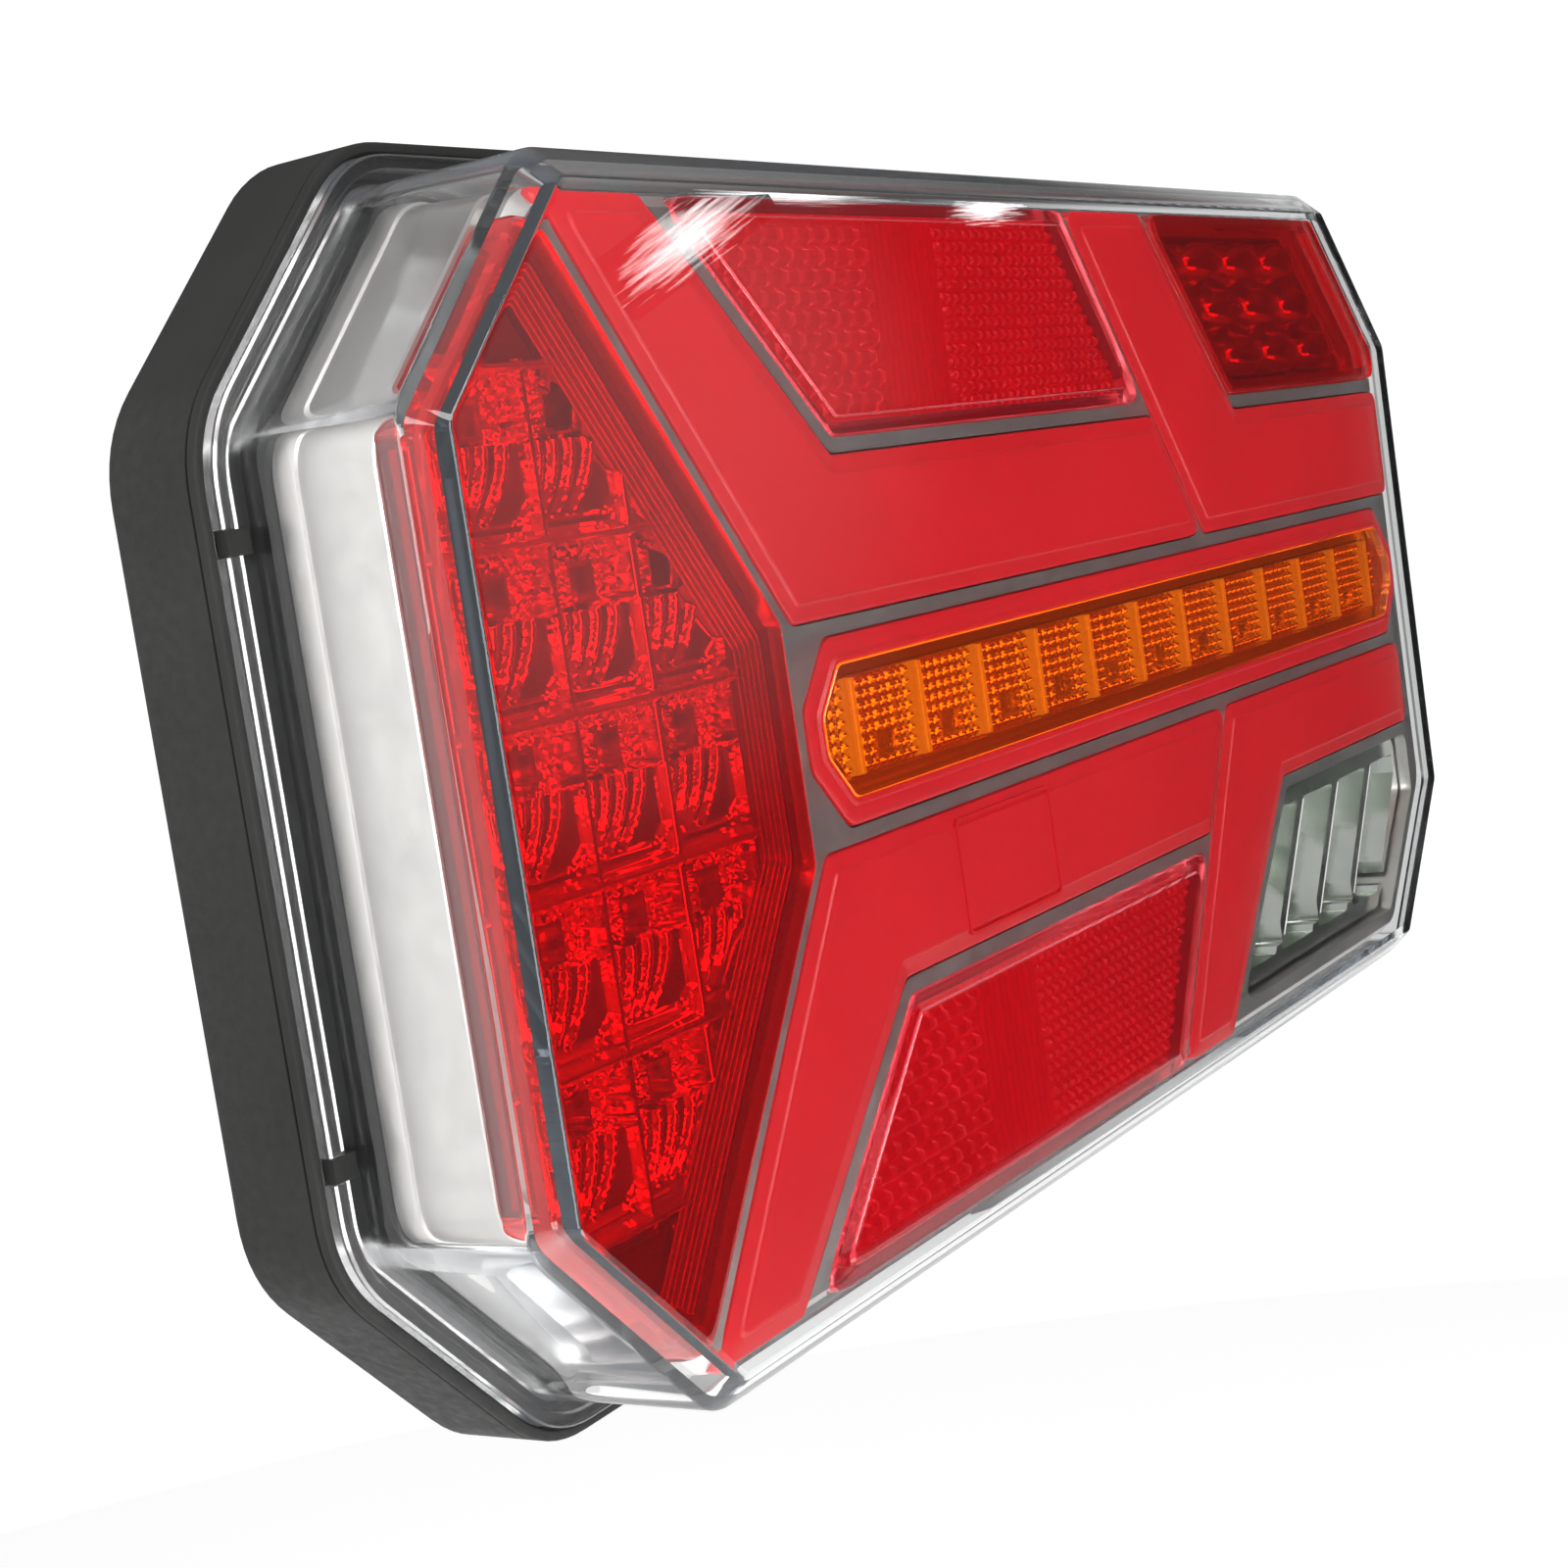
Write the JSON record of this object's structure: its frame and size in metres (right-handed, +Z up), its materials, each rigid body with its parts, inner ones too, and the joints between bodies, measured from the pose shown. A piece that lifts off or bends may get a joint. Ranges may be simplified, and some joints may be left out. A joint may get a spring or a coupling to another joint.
{
  "type": "trailer tail light",
  "caption": "Octagonal LED rear lamp for a trailer: black housing, clear cover over red, amber and clear chambers, rear mounting studs and cable gland.",
  "frame": {"origin": "centre of the housing's rear mounting face", "axes": "+X to the right as seen facing the lens, +Y out of the rear mounting face into the vehicle, +Z up; the lens looks along -Y"},
  "size_m": [0.24, 0.0515, 0.1206],
  "materials": {
    "black_plastic": "fine matte grain",
    "seal_rubber": "matte",
    "clear_lens": "clear, polished",
    "red_lens": "clear red, polished",
    "satin_red": "satin, diffusing red",
    "amber_lens": "clear amber, polished",
    "bright_reflector": "vacuum metallised plastic, mirror bright",
    "led_board": "white solder mask with yellow LED packages",
    "zinc_steel": "zinc plated"
  },
  "bodies": {
    "root": {"housing": "black_plastic", "lens_seal": "seal_rubber", "outer_lens": "clear_lens", "tail_lens": "red_lens", "upper_reflex": "red_lens", "lower_reflex": "red_lens", "fog_lens": "red_lens", "upper_light_guide": "satin_red", "upper_right_guide": "satin_red", "lower_light_guide": "satin_red", "lower_right_guide": "satin_red", "indicator_lens": "amber_lens", "bezel_frame": "bright_reflector", "tail_reflector": "bright_reflector", "indicator_reflector": "bright_reflector", "fog_reflector": "bright_reflector", "reversing_reflector": "bright_reflector", "tail_led_board": "led_board", "indicator_led_board": "led_board", "upper_guide_led_board": "led_board", "lower_guide_led_board": "led_board", "fog_led_board": "led_board", "reversing_led_board": "led_board", "board_screw_1": "zinc_steel", "board_screw_2": "zinc_steel", "board_screw_3": "zinc_steel", "board_screw_4": "zinc_steel", "board_screw_5": "zinc_steel", "board_screw_6": "zinc_steel", "board_screw_7": "zinc_steel", "board_screw_8": "zinc_steel", "board_screw_9": "zinc_steel", "board_screw_10": "zinc_steel", "board_screw_11": "zinc_steel", "board_screw_12": "zinc_steel", "mounting_stud_1": "zinc_steel", "mounting_stud_2": "zinc_steel", "cable_gland": "seal_rubber", "vent_plug": "seal_rubber"}
  },
  "joints": []
}
